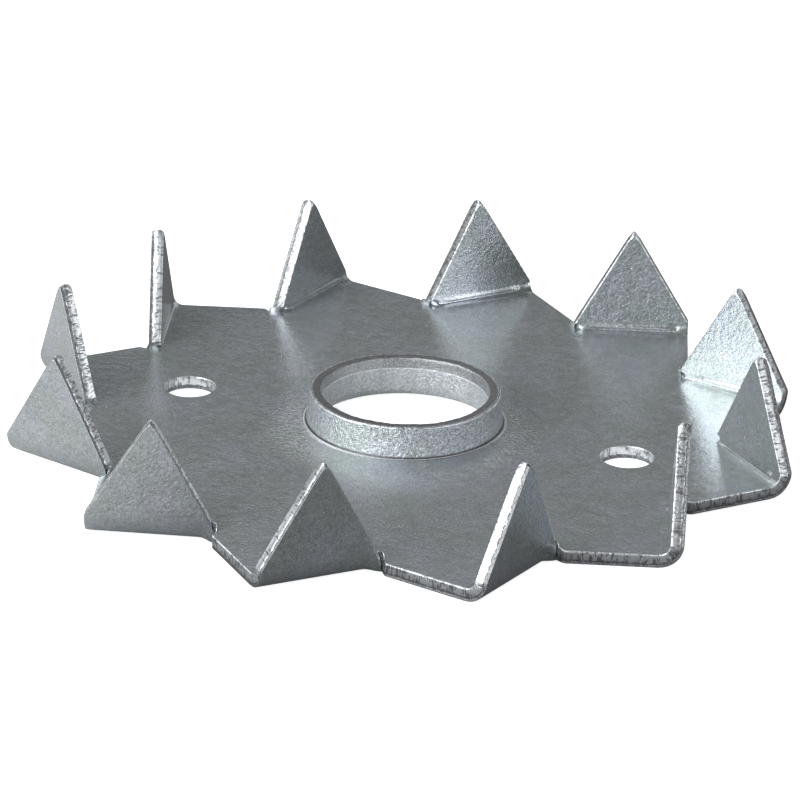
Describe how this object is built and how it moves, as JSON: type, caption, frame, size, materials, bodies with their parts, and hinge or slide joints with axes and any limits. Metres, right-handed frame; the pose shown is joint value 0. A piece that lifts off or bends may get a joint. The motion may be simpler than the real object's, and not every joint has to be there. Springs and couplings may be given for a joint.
{
  "type": "toothed plate connector",
  "caption": "Single-sided toothed steel plate for timber joints: a flat disc with a drawn collar for the bolt, a pair of nail holes and bent-up triangular teeth round its rim.",
  "frame": {"origin": "on the bolt axis, at the plane of the flat underside that the part rests on", "axes": "+Z along the bolt axis, the way the teeth and the collar point; the two nail holes lie on X"},
  "size_m": [0.077, 0.077, 0.0118],
  "materials": {
    "zinc_coated_steel": "satin"
  },
  "bodies": {
    "root": {"connector_plate": "zinc_coated_steel"}
  },
  "joints": []
}
